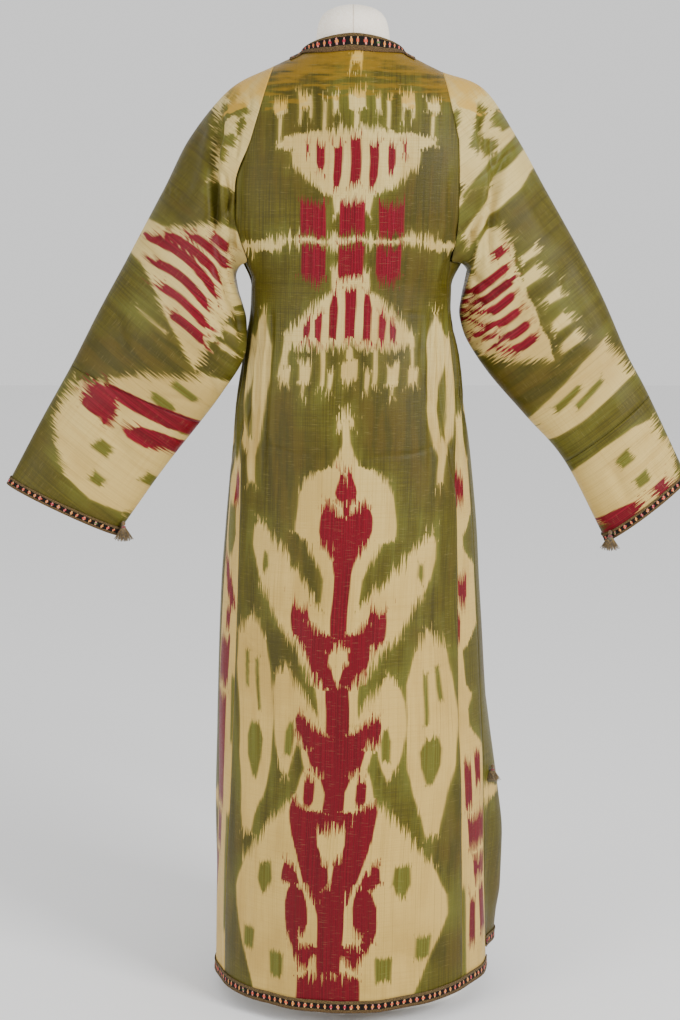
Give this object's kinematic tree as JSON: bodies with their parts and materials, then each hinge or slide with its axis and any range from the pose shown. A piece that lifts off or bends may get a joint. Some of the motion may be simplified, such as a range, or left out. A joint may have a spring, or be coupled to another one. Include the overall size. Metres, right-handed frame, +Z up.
{
  "type": "uzbek ikat chapan robe on a limbless dress form with a stand",
  "caption": "Long open-front robe of pieced loom widths, with wide sleeves, side slits and braid edging, worn by a limbless dress form on a pole and foot plate.",
  "frame": {"origin": "on the floor, the middle of the underside of the stand's foot plate", "axes": "+Z up; the robe's back faces -Y and its open front faces +Y; +X is the wearer's right"},
  "size_m": [0.9493, 0.3247, 1.38],
  "materials": {
    "ikat_silk": "silk and cotton ikat with a soft sheen, olive green, cream and crimson",
    "woven_braid": "narrow woven braid, near black with small pale gold, rose and green figures",
    "tassel_thread": "khaki thread with a dark head",
    "form_cloth": "ivory cotton jersey cover",
    "stand_steel": "satin off-white paint"
  },
  "bodies": {
    "root": {"back_panel": "ikat_silk", "back_gore_left": "ikat_silk", "back_gore_right": "ikat_silk", "front_gore_left": "ikat_silk", "front_gore_right": "ikat_silk", "front_panel_left": "ikat_silk", "front_panel_right": "ikat_silk", "sleeve_upper_left": "ikat_silk", "sleeve_upper_right": "ikat_silk", "sleeve_lower_left": "ikat_silk", "sleeve_lower_right": "ikat_silk", "neck_trim": "woven_braid", "front_trim_left": "woven_braid", "front_trim_right": "woven_braid", "hem_trim_back": "woven_braid", "hem_trim_front_left": "woven_braid", "hem_trim_front_right": "woven_braid", "cuff_trim_left": "woven_braid", "cuff_trim_right": "woven_braid", "cuff_tassel_left": "tassel_thread", "cuff_tassel_right": "tassel_thread", "slit_tassel_left": "tassel_thread", "slit_tassel_right": "tassel_thread", "dress_form": "form_cloth", "stand_pole": "stand_steel", "stand_plate": "stand_steel"}
  },
  "joints": []
}
